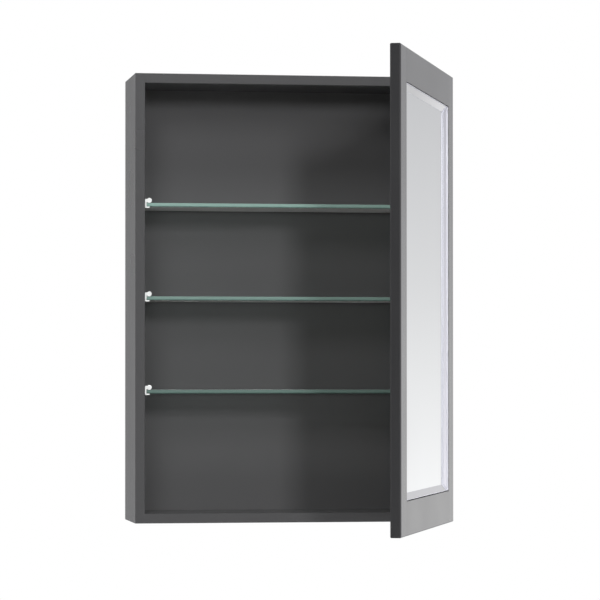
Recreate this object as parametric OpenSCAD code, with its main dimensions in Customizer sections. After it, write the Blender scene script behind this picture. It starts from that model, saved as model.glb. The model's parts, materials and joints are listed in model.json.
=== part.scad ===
// Bathroom mirror cabinet: a shallow lacquered carcass with glass shelves and one framed mirror door.
// Millimetres, +Z up. The origin is the middle of the back at its bottom edge, and the front faces -Y.

/* [Carcass] */
// Overall width
cab_w = 500; // [400:10:700]
// Overall height
cab_h = 700; // [640:10:900]
// Depth of the carcass without the door
body_d = 145; // [130:5:200]
// Thickness of the side, top and bottom panels
panel_t = 15; // [14:1:18]
// Rounding of the panels' front edges
edge_r = 1; // [0.4:0.1:2]
// Thickness of the back panel
back_t = 4; // [3:0.5:6]
// Depth of the grooves that hold the back panel
groove_d = 6; // [4:1:8]
// Space behind the back panel for the hanging rail
hang_gap = 13; // [11:1:20]
// Radius of the carcass dowels
dowel_r = 4; // [3:0.5:5]
// Length of the carcass dowels
dowel_len = 30; // [24:1:40]

/* [Hanging] */
// Height of the hanging rail
rail_h = 60; // [50:5:90]
// Distance between the two hanging holes
hang_spacing = 360; // [240:10:380]
// Radius of a hanging plate's round opening, for the wall screw's head
hang_hole_r = 4.5; // [4:0.1:5.5]
// Width of the slot that grips the wall screw's shank
hang_slot_w = 4.6; // [4:0.1:6]
// Thickness of the steel hanging plates
hang_plate_t = 1.5; // [1:0.1:2]

/* [Door] */
// Gap between the carcass and the closed door
door_gap = 3; // [2.6:0.1:3.6]
// Thickness of the door frame
door_t = 16; // [16:1:20]
// Rounding of the door's outer edges
door_r = 2; // [1.5:0.1:3]
// Width of the stiles and rails
frame_w = 50; // [48:1:80]
// Angle at which the door stands open
door_open = 69; // [0:1:100]
// Thickness of the lip in front of the mirror
lip_t = 3; // [2:0.5:4]
// Width of the lip that overlaps the mirror
lip_w = 8; // [6:1:9]
// Depth of the mirror's face behind the door's front
mirror_depth = 6; // [5:0.5:6.5]
// Thickness of the mirror
mirror_t = 4; // [3:0.5:4]
// Width of the bevelled strips that shows round the mirror
bevel_w = 11; // [6:0.5:20]
// Thickness of the bevelled strips at their inner edge
bevel_nose = 0.8; // [0.5:0.1:1.5]
// How far the strips' outer edge lies below the door's front
bevel_step = 0.5; // [0.3:0.1:1]
// Height of the strips' upright rim
rim_h = 1.5; // [1:0.1:2.2]
// Shadow gap between the lip and the strips' rim
rim_gap = 1.2; // [0.8:0.1:2]
// Thickness of the backing board
backing_t = 3; // [2:0.5:3.5]
// Width of the beads that hold the backing board
bead_w = 14; // [12:1:20]

/* [Hinges] */
// Distance of the hinges from the top and bottom
hinge_inset = 100; // [80:5:150]
// Diameter of the hinge cup
cup_d = 35; // [35:0.5:36]
// Depth of the hinge cup
cup_depth = 12; // [12:0.5:13]
// Wood left between the cup and the door's edge
cup_edge = 3; // [3:0.1:3.4]
// Thickness of the cup's flange
flange_t = 1.2; // [1:0.1:1.4]
// Distance of the cup pin from the door's edge
pin_edge = 7.5; // [7.4:0.1:7.8]
// Depth of the cup pin below the back of the door
pin_depth = 8; // [7.8:0.1:8.2]
// Radius of the hinge pins
pin_r = 1.4; // [1.2:0.1:1.5]
// Length of the hinge arm
arm_len = 72; // [66:1:90]
// Height of the hinge arm above the side panel
arm_h = 15.6; // [14:0.2:18]
// Wall of the pressed steel arm
arm_wall = 1.6; // [1.2:0.1:2]
// Distance of the mounting plate's screws from the front
plate_setback = 37; // [34:1:40]
// Distance between the mounting plate's two screws
plate_hole_gap = 32; // [28:1:40]

/* [Shelves] */
// Height between shelf centres
shelf_pitch = 145.5; // [120:0.5:160]
// Thickness of the glass shelves
shelf_t = 6; // [5:0.5:8]
// Distance of a shelf behind the carcass's front
shelf_setback = 7; // [5:1:40]
// Gap between a shelf and the back panel
shelf_back_gap = 3; // [2:0.5:10]
// Depth of a shelf clip, front to back
clip_d = 10; // [8:0.5:14]
// Thickness of a clip's wall plate
clip_wall = 3; // [2:0.1:3.5]
// Length of the ledge under the glass
clip_ledge = 8; // [7:0.5:12]
// Radius of the bead that hooks over the glass
clip_bead_r = 3.8; // [3.3:0.1:4.5]
// Distance of the bead's middle from the wall
clip_bead_x = 7.5; // [6:0.5:9]
// Radius of the clip's pin in the side panel
clip_pin_r = 2.5; // [2:0.1:3]
// Distance of the clips' middle from the shelf's front and back edges
clip_inset = 4; // [3:1:30]

/* [Clearances] */
// Radial clearance of pins, dowels and screws in their holes
hole_fit = 0.05; // [0.02:0.01:0.1]
// Clearance between flat pieces that slot together
slot_fit = 0.3; // [0.2:0.05:0.5]

/* [Hidden] */
$fn = 48;

// A cut runs this far past the face that it opens
over = 1;
// A blind hole runs this far past its screw
hole_spare = 0.5;

lacquer = "#525355";
board = "#8d7657";
steel = "#b9bcc0";
clear = "#e9eceb";
glass = "#8fb5ab";
silvered = "#dfe4e8";

// Carcass
inner_w = cab_w - 2 * panel_t;
inner_h = cab_h - 2 * panel_t;
back_y = -hang_gap - back_t;
dowel_cover = 5;
dowel_in_side = panel_t - dowel_cover;
dowel_back_gap = 16;
dowel_front_gap = 26;
dowel_y = [back_y - dowel_back_gap, -body_d + dowel_front_gap];
corner_z = [panel_t / 2, cab_h - panel_t / 2];

// Hanging rail
rail_front_y = -hang_gap;
rail_back_y = -2 * hang_plate_t;
rail_z = cab_h - panel_t - rail_h;
hang_z = rail_z + rail_h * 0.45;
hang_plate_w = 30;
hang_plate_h = 44;
hang_plate_r = 4;
hang_slot_rise = 12;
hang_pocket_r = hang_hole_r + 1.5;
hang_pocket_d = 6;
hang_screw_z = 16;
hang_screw_end = 1.5;
// The screws' heads take this share of the space between the plates and the wall
hang_head_share = 0.65;
screw_r = 1.75;
screw_head_r = 3.4;
screw_head_t = 1.6;

// Door, drawn closed and then turned about the hinge pins
door_back_y = -body_d - door_gap;
door_front_y = door_back_y - door_t;
open_w = cab_w - 2 * frame_w;
open_h = cab_h - 2 * frame_w;
mirror_w = open_w + 2 * (lip_w - slot_fit);
mirror_h = open_h + 2 * (lip_w - slot_fit);
mirror_front_y = door_front_y + mirror_depth;
mirror_back_y = mirror_front_y + mirror_t;
backing_back_y = mirror_back_y + backing_t;
bead_t = 3;
bead_back_y = min(door_back_y, backing_back_y + bead_t);
bevel_land = 0.6;
mitre_gap = slot_fit / 2;
door_dowel_r = 3;
door_dowel_len = 30;
door_dowel_z = [frame_w * 0.24, frame_w * 0.64];
pad_r = 4;
pad_t = door_gap - slot_fit;
pad_inset = 40;
// The domed part of a pad is this share of its thickness
pad_dome = 0.6;

// Hinge, in its own frame: zero is the side panel's outer face at the carcass's front
hinge_z = [cab_h - hinge_inset, hinge_inset];
pin_at = [-pin_edge, -door_gap - pin_depth];
cup_r = cup_d / 2;
cup_x = -cup_edge - cup_r;
cup_floor = 1;
cup_wall = 1.2;
pocket_r = cup_r - cup_wall;
pocket_half = 7.5;
cup_pin_half = pocket_half + 2;
flange_r = cup_r + 1;
wing_offset = 9.5;
wing_x = cup_x - wing_offset;
wing_z = 22.5;
wing_r = 5.5;
cup_screw_len = 11;
inner_half = 4.5;
inner_eye_r = 2.3;
knee_reach = 12;
inner_knee = pin_at + knee_reach * [cos(182), sin(182)];
inner_front_w = 1.8;
inner_knee_r = 1.2;
inner_rear_w = 2.4;
tip_height = 5;
heel_height = 24;
arm_tip = [-panel_t - tip_height, 2];
arm_heel = [-panel_t - heel_height, 7];
tip_eye_r = 2.6;
arm_eye_r = 3;
outer_in = inner_half + 0.4;
outer_out = outer_in + 1;
outer_eye_r = 2;
outer_stud_r = 1.2;
outer_stud_end = pocket_half - slot_fit;
outer_end = pin_at + [-3, 5.5];
outer_knee_reach = 6;
outer_knee = outer_end + outer_knee_reach * [cos(187), sin(187)];
outer_front_w = 2.6;
outer_knee_r = 1.6;
outer_rear_w = 3.2;
outer_web_t = 1;
outer_web_rise = 1.1;
outer_web_run = [0.56, 0.84];
// The outer link turns by this share of the door's angle, the other way
outer_ratio = -0.155;
cheek_in = 7;
cheek_out = cheek_in + arm_wall;
arm_start = 14;
web_start = 20;
cheek_front_step = 2;
cheek_rear_step = 4;
// The cheeks' slanting edges meet the eyes at this share of the eyes' radius
cheek_tuck = 0.9;
arm_screw_y = [30, 56];
arm_screw_r = 2;
arm_screw_end = 1.5;
arm_head_t = 2;
ridge_half = cheek_in - 1;
ridge_h = arm_h - arm_wall;
ridge_y = [22, 64];
plate_t = 2.2;
plate_half_y = 11;
plate_end = 9;
plate_half_z = plate_hole_gap / 2 + plate_end;
plate_corner_r = 5;
euro_r = 2.5;
euro_len = panel_t - 4;
euro_head_r = 4.2;
euro_head_t = 1.8;

// Shelves
shelf_z = [cab_h / 2 + shelf_pitch, cab_h / 2, cab_h / 2 - shelf_pitch];
shelf_w = inner_w - 2 * (clip_wall + slot_fit);
shelf_front_y = -body_d + shelf_setback;
shelf_rear_y = back_y - shelf_back_gap;
shelf_arris = 0.6;
clip_y = [shelf_front_y + clip_inset, shelf_rear_y - clip_inset];
ledge_t = 2;
clip_arm_t = 4.4;
clip_pin_len = 9;

// A flat bar between two points, with square ends
module bar(a, b, w) {
    d = b - a;
    translate(a) rotate(atan2(d[1], d[0])) translate([0, -w / 2]) square([norm(d), w]);
}

// An outline of w by d with all four corners rounded
module rounded(w, d, r) {
    translate([r, 0]) square([w - 2 * r, d]);
    translate([0, r]) square([w, d - 2 * r]);
    for (x = [r, w - r], y = [r, d - r]) translate([x, y]) circle(r);
}

// A board's section: its front edge at y = -d is rounded
module front_rounded(w, d, r) {
    translate([0, r - d]) square([w, d - r]);
    translate([r, -d]) square([w - 2 * r, r]);
    for (x = [r, w - r]) translate([x, r - d]) circle(r);
}

// Carries an outline in Y and Z along X
module along_x(x0, x1) {
    translate([x0, 0, 0]) rotate([90, 0, 90]) linear_extrude(x1 - x0) children();
}

// A cylinder along X, from x0 to x1
module rod_x(x0, x1, y, z, r) {
    translate([x0, y, z]) rotate([0, 90, 0]) cylinder(r = r, h = x1 - x0);
}

// A cylinder along Y, from y0 to y1
module rod_y(x, y0, y1, z, r) {
    translate([x, y1, z]) rotate([90, 0, 0]) cylinder(r = r, h = y1 - y0);
}

// A cylinder along Z at a point, reaching half above and half below
module rod_z(at, half, r) {
    translate([at[0], at[1], -half]) cylinder(r = r, h = 2 * half);
}

// A slab of an outline in X and Y, from z0 to z1
module slab(z0, z1) {
    translate([0, 0, z0]) linear_extrude(z1 - z0) children();
}

// One hinge's place on the right side panel
module at_hinge(z) {
    translate([cab_w / 2, -body_d, z]) children();
}

// Turns what is drawn closed to the angle at which the door stands
module with_door() {
    at_hinge(0) translate(pin_at) rotate(door_open) translate(-pin_at) translate([-cab_w / 2, body_d, 0])
        children();
}

module with_outer_link(z) {
    at_hinge(z) translate(arm_heel) rotate(outer_ratio * door_open) translate(-arm_heel) children();
}

// The corner dowels: each goes into a side panel and into the end of the top or bottom panel
module dowel_set(r, spare) {
    start = inner_w / 2 - dowel_len + dowel_in_side;
    for (side = [0, 1], y = dowel_y, z = corner_z)
        mirror([side, 0, 0]) rod_x(start - spare, start + dowel_len + spare, y, z, r);
}

// The carcass as one block, rounded round its front
module carcass_blank() {
    intersection() {
        translate([-cab_w / 2, 0, 0]) linear_extrude(cab_h) front_rounded(cab_w, body_d, edge_r);
        along_x(-cab_w / 2, cab_w / 2) on_edge() front_rounded(cab_h, body_d, edge_r);
    }
}

// Stands an outline in X and Y on its edge, so that it lies in Y and Z
module on_edge() { mirror([1, 0]) rotate(90) children(); }

// The section of the carcass's opening: it flares out to leave the front's inner edges rounded
module flared(w) {
    translate([-w / 2, -body_d - over]) square([w, body_d + 2 * over]);
    difference() {
        translate([-w / 2 - edge_r, -body_d - over]) square([w + 2 * edge_r, edge_r + over]);
        for (s = [-1, 1]) translate([s * (w / 2 + edge_r), edge_r - body_d]) circle(edge_r);
    }
}

module carcass_opening() {
    intersection() {
        linear_extrude(cab_h) flared(inner_w);
        along_x(-cab_w / 2, cab_w / 2) translate([0, cab_h / 2]) on_edge() flared(inner_h);
    }
}

// One board of the carcass: what lies in a box of the block, with its grooves and holes
module carcass_board(low, size) {
    difference() {
        intersection() {
            carcass_blank();
            translate([low[0], -body_d - over, low[1]]) cube([size[0], body_d + 2 * over, size[1]]);
        }
        carcass_opening();
        back_groove();
        dowel_set(dowel_r + hole_fit, slot_fit);
    }
}

// The groove that runs round the inside of the carcass for the back panel
module back_groove() {
    translate([-inner_w / 2 - groove_d, back_y - slot_fit / 2, panel_t - groove_d])
        cube([inner_w + 2 * groove_d, back_t + slot_fit, inner_h + 2 * groove_d]);
}

module clip_pin_holes() {
    for (side = [-1, 1], y = clip_y, z = shelf_z)
        rod_x(side * inner_w / 2 - clip_pin_len - slot_fit, side * inner_w / 2 + clip_pin_len + slot_fit,
            y, z, clip_pin_r + hole_fit);
}

module left_side() {
    color(lacquer) difference() {
        carcass_board([-cab_w / 2, 0], [panel_t, cab_h]);
        clip_pin_holes();
    }
}

module right_side() {
    color(lacquer) difference() {
        carcass_board([inner_w / 2, 0], [panel_t, cab_h]);
        clip_pin_holes();
        for (z = hinge_z) at_hinge(z) plate_screw_set(euro_r + hole_fit, euro_len + slot_fit);
    }
}

// The top and bottom panels lie between the sides
module level_board(z) { color(lacquer) carcass_board([-inner_w / 2, z], [inner_w, panel_t]); }

module top_panel() { level_board(cab_h - panel_t); }

module bottom_panel() { level_board(0); }

module back_panel() {
    spare = slot_fit;
    color(lacquer) translate([-inner_w / 2 - groove_d + spare, back_y, panel_t - groove_d + spare])
        cube([inner_w + 2 * (groove_d - spare), back_t, inner_h + 2 * (groove_d - spare)]);
}

module carcass_dowels() { color(board) dowel_set(dowel_r, 0); }

// The screws that hold the hanging plates on their rail
module hanging_screw_set(r, y0, y1) {
    for (x = [-1, 1] * hang_spacing / 2, z = [-1, 1] * hang_screw_z) rod_y(x, y0, y1, hang_z + z, r);
}

module hanging_rail() {
    color(board) difference() {
        translate([-inner_w / 2, rail_front_y, rail_z])
            cube([inner_w, rail_back_y - rail_front_y, rail_h]);
        // Room behind each plate for the wall screw's head
        for (x = [-1, 1] * hang_spacing / 2) {
            translate([x, 0, hang_z]) rotate([90, 0, 0]) translate([0, 0, -rail_back_y - over])
                linear_extrude(hang_pocket_d + over) {
                    circle(hang_pocket_r);
                    translate([-hang_pocket_r, 0]) square([2 * hang_pocket_r, hang_slot_rise]);
                    translate([0, hang_slot_rise]) circle(hang_pocket_r);
                }
        }
        hanging_screw_set(screw_r + hole_fit, rail_front_y + hang_screw_end - hole_spare,
            rail_back_y + over);
    }
}

module hanging_plates() {
    color(steel) for (x = [-1, 1] * hang_spacing / 2) difference() {
        translate([x - hang_plate_w / 2, rail_back_y + hang_plate_t, hang_z - hang_plate_h / 2])
            rotate([90, 0, 0]) linear_extrude(hang_plate_t)
                rounded(hang_plate_w, hang_plate_h, hang_plate_r);
        rod_y(x, rail_back_y - over, rail_back_y + hang_plate_t + over, hang_z, hang_hole_r);
        rod_y(x, rail_back_y - over, rail_back_y + hang_plate_t + over, hang_z + hang_slot_rise,
            hang_slot_w / 2);
        translate([x - hang_slot_w / 2, rail_back_y - over, hang_z])
            cube([hang_slot_w, hang_plate_t + 2 * over, hang_slot_rise]);
        hanging_screw_set(screw_r + hole_fit, rail_back_y - over, rail_back_y + hang_plate_t + over);
    }
}

module hanging_screws() {
    head_y = rail_back_y + hang_plate_t;
    color(steel) {
        hanging_screw_set(screw_r, rail_front_y + hang_screw_end, head_y);
        hanging_screw_set(screw_head_r, head_y, head_y * (1 - hang_head_share));
    }
}

// A glass shelf, its long edges ground to a small arris
module shelf(z) {
    d = shelf_rear_y - shelf_front_y;
    a = shelf_arris;
    color(glass) along_x(-shelf_w / 2, shelf_w / 2) translate([shelf_front_y, z - shelf_t / 2])
        polygon([[a, 0], [d - a, 0], [d, a], [d, shelf_t - a], [d - a, shelf_t], [a, shelf_t],
            [0, shelf_t - a], [0, a]]);
}

module upper_shelf() { shelf(shelf_z[0]); }

module middle_shelf() { shelf(shelf_z[1]); }

module lower_shelf() { shelf(shelf_z[2]); }

// One clip on the left wall: a wall plate, a ledge under the glass, an arm that carries a bead over the
// glass, and a pin. Zero is the wall, at the middle of the glass's thickness.
module clip() {
    low = -shelf_t / 2 - ledge_t;
    bead_z = shelf_t / 2 + clip_bead_r;
    arm_top = bead_z + clip_arm_t / 2;
    translate([0, -clip_d / 2, low]) cube([clip_wall, clip_d, arm_top - low]);
    translate([0, -clip_d / 2, low]) cube([clip_ledge, clip_d, ledge_t]);
    translate([0, -clip_d / 2, arm_top - clip_arm_t]) cube([clip_bead_x, clip_d, clip_arm_t]);
    rod_y(clip_bead_x, -clip_d / 2, clip_d / 2, bead_z, clip_bead_r);
    rod_x(-clip_pin_len, over, 0, 0, clip_pin_r);
}

module shelf_clips(z) {
    color(clear) for (y = clip_y) {
        translate([-inner_w / 2, y, z]) clip();
        translate([inner_w / 2, y, z]) mirror([1, 0, 0]) clip();
    }
}

module upper_shelf_clips() { shelf_clips(shelf_z[0]); }

module middle_shelf_clips() { shelf_clips(shelf_z[1]); }

module lower_shelf_clips() { shelf_clips(shelf_z[2]); }

// Screws from the mounting plate into the side panel
module plate_screw_set(r, depth) {
    for (z = [-1, 1] * plate_hole_gap / 2) rod_x(-panel_t - plate_t - over, -panel_t + depth,
        plate_setback, z, r);
}

// Screws from the hinge arm into the mounting plate's ridge
module arm_screw_set(r, x0, x1) {
    for (y = arm_screw_y) rod_x(x0, x1, y, 0, r);
}

module mounting_plate() {
    color(steel) difference() {
        union() {
            translate([-panel_t - plate_t, plate_setback - plate_half_y, -plate_half_z])
                rotate([90, 0, 90]) linear_extrude(plate_t)
                    rounded(2 * plate_half_y, 2 * plate_half_z, plate_corner_r);
            translate([-panel_t - ridge_h, ridge_y[0], -ridge_half])
                cube([ridge_h, ridge_y[1] - ridge_y[0], 2 * ridge_half]);
        }
        plate_screw_set(euro_r + hole_fit, over);
        arm_screw_set(arm_screw_r + hole_fit, -panel_t - ridge_h - over,
            -panel_t - plate_t - arm_screw_end + hole_spare);
    }
}

module upper_mounting_plate() { at_hinge(hinge_z[0]) mounting_plate(); }

module lower_mounting_plate() { at_hinge(hinge_z[1]) mounting_plate(); }

module plate_screws() {
    color(steel) for (z = hinge_z) at_hinge(z) for (s = [-1, 1] * plate_hole_gap / 2) {
        rod_x(-panel_t - plate_t, -panel_t + euro_len, plate_setback, s, euro_r);
        rod_x(-panel_t - plate_t - euro_head_t, -panel_t - plate_t, plate_setback, s, euro_head_r);
    }
}

// Side of the arm: a channel wall, and a nose that narrows to two eyes, the tip and the heel
module cheek_outline() {
    left = -panel_t - arm_h;
    right = -panel_t - plate_t - slot_fit;
    translate([left, arm_start]) square([right - left, arm_len - arm_start]);
    tuck = arm_eye_r * cheek_tuck;
    polygon([[left, web_start + cheek_rear_step], arm_heel + tuck * [cos(135), sin(135)],
        arm_heel + tuck * [cos(255), sin(255)], arm_tip + tuck * [cos(255), sin(255)],
        arm_tip + tuck * [1, 0], [right, arm_start + cheek_front_step]]);
    for (eye = [arm_tip, arm_heel]) translate(eye) circle(arm_eye_r);
}

module hinge_arm() {
    color(steel) difference() {
        union() {
            slab(cheek_in, cheek_out) cheek_outline();
            slab(-cheek_out, -cheek_in) cheek_outline();
            translate([-panel_t - arm_h, web_start, -cheek_out])
                cube([arm_wall, arm_len - web_start, 2 * cheek_out]);
        }
        rod_z(arm_tip, cheek_out + over, pin_r + hole_fit);
        rod_z(arm_heel, cheek_out + over, pin_r + hole_fit);
        arm_screw_set(arm_screw_r + hole_fit, -panel_t - arm_h - over, -panel_t - ridge_h + over);
    }
}

module upper_hinge_arm() { at_hinge(hinge_z[0]) hinge_arm(); }

module lower_hinge_arm() { at_hinge(hinge_z[1]) hinge_arm(); }

module arm_screws() {
    color(steel) for (z = hinge_z) at_hinge(z) {
        arm_screw_set(arm_screw_r, -panel_t - arm_h, -panel_t - plate_t - arm_screw_end);
        arm_screw_set(screw_head_r, -panel_t - arm_h - arm_head_t, -panel_t - arm_h);
    }
}

module arm_pins() {
    color(steel) for (z = hinge_z) at_hinge(z) {
        rod_z(arm_tip, cheek_out, pin_r);
        rod_z(arm_heel, cheek_out, pin_r);
    }
}

// The hooked link that carries the cup pin round the edge of the side panel
module inner_link() {
    color(steel) difference() {
        slab(-inner_half, inner_half) {
            translate(pin_at) circle(inner_eye_r);
            bar(pin_at, inner_knee, inner_front_w);
            translate(inner_knee) circle(inner_knee_r);
            bar(inner_knee, arm_tip, inner_rear_w);
            translate(arm_tip) circle(tip_eye_r);
        }
        rod_z(pin_at, inner_half + over, pin_r + hole_fit);
        rod_z(arm_tip, inner_half + over, pin_r + hole_fit);
    }
}

module upper_inner_link() { at_hinge(hinge_z[0]) inner_link(); }

module lower_inner_link() { at_hinge(hinge_z[1]) inner_link(); }

module outer_cheek_outline() {
    translate(outer_end) circle(outer_eye_r);
    bar(outer_end, outer_knee, outer_front_w);
    translate(outer_knee) circle(outer_knee_r);
    bar(outer_knee, arm_heel, outer_rear_w);
    translate(arm_heel) circle(tip_eye_r);
}

// The pressed link that straddles the inner one: two cheeks, a web between them and two end studs
module outer_link() {
    run = arm_heel - outer_knee;
    lift = outer_web_rise * [-run[1], run[0]] / norm(run);
    color(steel) difference() {
        union() {
            for (s = [-1, 1]) {
                slab(min(s * outer_in, s * outer_out), max(s * outer_in, s * outer_out))
                    outer_cheek_outline();
                translate([outer_end[0], outer_end[1], min(s * outer_in, s * outer_stud_end)])
                    cylinder(r = outer_stud_r, h = outer_stud_end - outer_in);
            }
            slab(-outer_out, outer_out) bar(outer_knee + run * outer_web_run[0] + lift,
                outer_knee + run * outer_web_run[1] + lift, outer_web_t);
        }
        rod_z(arm_heel, outer_out + over, pin_r + hole_fit);
    }
}

module upper_outer_link() { with_outer_link(hinge_z[0]) outer_link(); }

module lower_outer_link() { with_outer_link(hinge_z[1]) outer_link(); }

// Cup screws, on the wings of the flange
module cup_screw_set(r, y0, y1) {
    for (z = [-1, 1] * wing_z) rod_y(wing_x, y0, y1, z, r);
}

// Hinge cup: a die-cast disc with a pocket for the links, and a flange on the back of the door
module hinge_cup() {
    color(steel) difference() {
        union() {
            rod_y(cup_x, -door_gap - cup_depth, -door_gap, 0, cup_r);
            translate([0, -door_gap + flange_t, 0]) rotate([90, 0, 0]) linear_extrude(flange_t) {
                translate([cup_x, 0]) circle(flange_r);
                translate([wing_x - wing_r, -wing_z]) square([2 * wing_r, 2 * wing_z]);
                for (z = [-1, 1] * wing_z) translate([wing_x, z]) circle(wing_r);
            }
        }
        intersection() {
            rod_y(cup_x, -door_gap - cup_depth + cup_floor, -door_gap + flange_t + over, 0, pocket_r);
            translate([cup_x - cup_r, -door_gap - cup_depth, -pocket_half])
                cube([cup_d, cup_depth + flange_t + 2 * over, 2 * pocket_half]);
        }
        rod_z(pin_at, cup_pin_half + slot_fit, pin_r + hole_fit);
        cup_screw_set(screw_r + hole_fit, -door_gap - over, -door_gap + flange_t + over);
    }
}

module upper_hinge_cup() { with_door() at_hinge(hinge_z[0]) hinge_cup(); }

module lower_hinge_cup() { with_door() at_hinge(hinge_z[1]) hinge_cup(); }

module cup_pins() {
    color(steel) with_door() for (z = hinge_z) at_hinge(z) rod_z(pin_at, cup_pin_half, pin_r);
}

module cup_screws() {
    color(steel) with_door() for (z = hinge_z) at_hinge(z) {
        cup_screw_set(screw_r, -door_gap - cup_screw_len, -door_gap + flange_t);
        cup_screw_set(screw_head_r, -door_gap + flange_t, -door_gap + flange_t + screw_head_t);
    }
}

// The whole door as one slab, with all its outer edges rounded
module door_blank() {
    intersection() {
        translate([-cab_w / 2, door_front_y, 0]) linear_extrude(cab_h) rounded(cab_w, door_t, door_r);
        along_x(-cab_w / 2, cab_w / 2) translate([door_front_y, 0]) rounded(door_t, cab_h, door_r);
    }
}

// What the frame leaves open: the window, and the wider rebate behind the lip
module door_window() {
    translate([-open_w / 2, door_front_y - over, frame_w]) cube([open_w, door_t + 2 * over, open_h]);
    translate([-open_w / 2 - lip_w, door_front_y + lip_t, frame_w - lip_w])
        cube([open_w + 2 * lip_w, door_t, open_h + 2 * lip_w]);
}

module door_dowel_set(r, spare) {
    half = door_dowel_len / 2 + spare;
    for (s = [-1, 1], z = door_dowel_z, end = [0, 1])
        rod_x(s * open_w / 2 - half, s * open_w / 2 + half, (door_front_y + door_back_y) / 2,
            end == 0 ? z : cab_h - z, r);
}

module frame_piece(low, size) {
    difference() {
        intersection() {
            door_blank();
            translate(low) cube(size);
        }
        door_window();
        door_dowel_set(door_dowel_r + hole_fit, slot_fit);
    }
}

module stile(x0) {
    frame_piece([x0, door_front_y - over, -over], [frame_w, door_t + 2 * over, cab_h + 2 * over]);
}

module rail(z0) {
    frame_piece([-open_w / 2, door_front_y - over, z0], [open_w, door_t + 2 * over, frame_w]);
}

module hinge_stile() {
    color(lacquer) with_door() difference() {
        stile(open_w / 2);
        for (z = hinge_z) at_hinge(z) {
            rod_y(cup_x, -door_gap - cup_depth - hole_fit, -door_gap + over, 0, cup_r + hole_fit);
            cup_screw_set(screw_r + hole_fit, -door_gap - cup_screw_len - slot_fit, -door_gap + over);
        }
    }
}

module free_stile() { color(lacquer) with_door() stile(-cab_w / 2); }

module top_rail() { color(lacquer) with_door() rail(cab_h - frame_w); }

module bottom_rail() { color(lacquer) with_door() rail(0); }

module door_dowels() { color(board) with_door() door_dowel_set(door_dowel_r, 0); }

// A slab of w by h about the middle of the door, from y0 to y1
module pane(w, h, y0, y1) {
    translate([-w / 2, y0, (cab_h - h) / 2]) cube([w, y1 - y0, h]);
}

module mirror_glass() {
    color(silvered) with_door() pane(mirror_w, mirror_h, mirror_front_y, mirror_back_y);
}

// Section of a bevelled strip, in Y and Z. Its flange lies behind the door's lip and floors the shadow
// gap, its rim stands upright beside the gap, and its face slopes in from the rim to the mirror.
module strip_section() {
    flange_y = door_front_y + lip_t + hole_fit;
    rim_y = door_front_y + bevel_step;
    lip_end = lip_w - slot_fit;
    rim = [lip_end + rim_gap, lip_end + rim_gap + bevel_land];
    inner = lip_end + bevel_w;
    polygon([[flange_y, 0], [flange_y, rim[0]], [rim_y, rim[0]], [rim_y, rim[1]], [rim_y + rim_h, rim[1]],
        [mirror_front_y - bevel_nose, inner], [mirror_front_y, inner], [mirror_front_y, 0]]);
}

// A strip whose outer edge lies on zero, mitred at both ends
module bevel_strip(half) {
    reach = 3 * (lip_w + bevel_w);
    difference() {
        along_x(-half, half) strip_section();
        for (end = [0, 1]) mirror([end, 0, 0]) translate([half - mitre_gap, door_front_y - over, 0])
            rotate([0, -45, 0]) translate([0, 0, -reach / 2]) cube([reach, door_t, reach]);
    }
}

module bevel_strips() {
    color(silvered) with_door() translate([0, 0, cab_h / 2]) {
        for (a = [0, 180]) rotate([0, a, 0]) translate([0, 0, -mirror_h / 2]) bevel_strip(mirror_w / 2);
        for (a = [90, 270]) rotate([0, a, 0]) translate([0, 0, -mirror_w / 2]) bevel_strip(mirror_h / 2);
    }
}

module backing_board() {
    color(board) with_door() pane(mirror_w, mirror_h, mirror_back_y, backing_back_y);
}

// Four beads, mitred at the corners, that hold the board, the mirror and its strips in the rebate
module retaining_beads() {
    w = mirror_w / 2;
    h = mirror_h / 2;
    m = mitre_gap;
    color(lacquer) with_door() translate([0, bead_back_y, cab_h / 2]) rotate([90, 0, 0])
        linear_extrude(bead_back_y - backing_back_y) for (s = [-1, 1]) {
            polygon([[-w + m, s * h], [w - m, s * h], [w - bead_w - m, s * (h - bead_w)],
                [-w + bead_w + m, s * (h - bead_w)]]);
            polygon([[s * w, -h + m], [s * w, h - m], [s * (w - bead_w), h - bead_w - m],
                [s * (w - bead_w), -h + bead_w + m]]);
        }
}

// Clear domes that stop the door softly against the carcass
module bumper_pads() {
    rise = pad_t * pad_dome;
    color(clear) with_door() for (z = corner_z)
        translate([-cab_w / 2 + pad_inset, door_back_y, z]) rotate([-90, 0, 0]) rotate_extrude()
            intersection() {
                union() {
                    square([pad_r, pad_t - rise]);
                    translate([0, pad_t - rise]) square([pad_r - rise, rise]);
                    translate([pad_r - rise, pad_t - rise]) circle(rise);
                }
                square([pad_r, pad_t]);
            }
}

left_side();
right_side();
top_panel();
bottom_panel();
back_panel();
carcass_dowels();
hanging_rail();
hanging_plates();
hanging_screws();
upper_shelf();
middle_shelf();
lower_shelf();
upper_shelf_clips();
middle_shelf_clips();
lower_shelf_clips();
upper_mounting_plate();
lower_mounting_plate();
plate_screws();
upper_hinge_arm();
lower_hinge_arm();
arm_screws();
arm_pins();
upper_inner_link();
lower_inner_link();
upper_outer_link();
lower_outer_link();
upper_hinge_cup();
lower_hinge_cup();
cup_pins();
cup_screws();
hinge_stile();
free_stile();
top_rail();
bottom_rail();
door_dowels();
mirror_glass();  // mirror
bevel_strips();
backing_board();
retaining_beads();
bumper_pads();
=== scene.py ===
"""Bathroom mirror cabinet: a lacquered carcass, glass shelves and one framed mirror door, standing open.

Metres, +Z up. The origin is the middle of the back at its bottom edge, and the front faces -Y.
Pieces of the door are drawn closed and then turned to the angle at which the door stands.
"""
import json
import logging
import math
from collections.abc import Callable
from dataclasses import dataclass
from enum import Enum
from functools import partial

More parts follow.
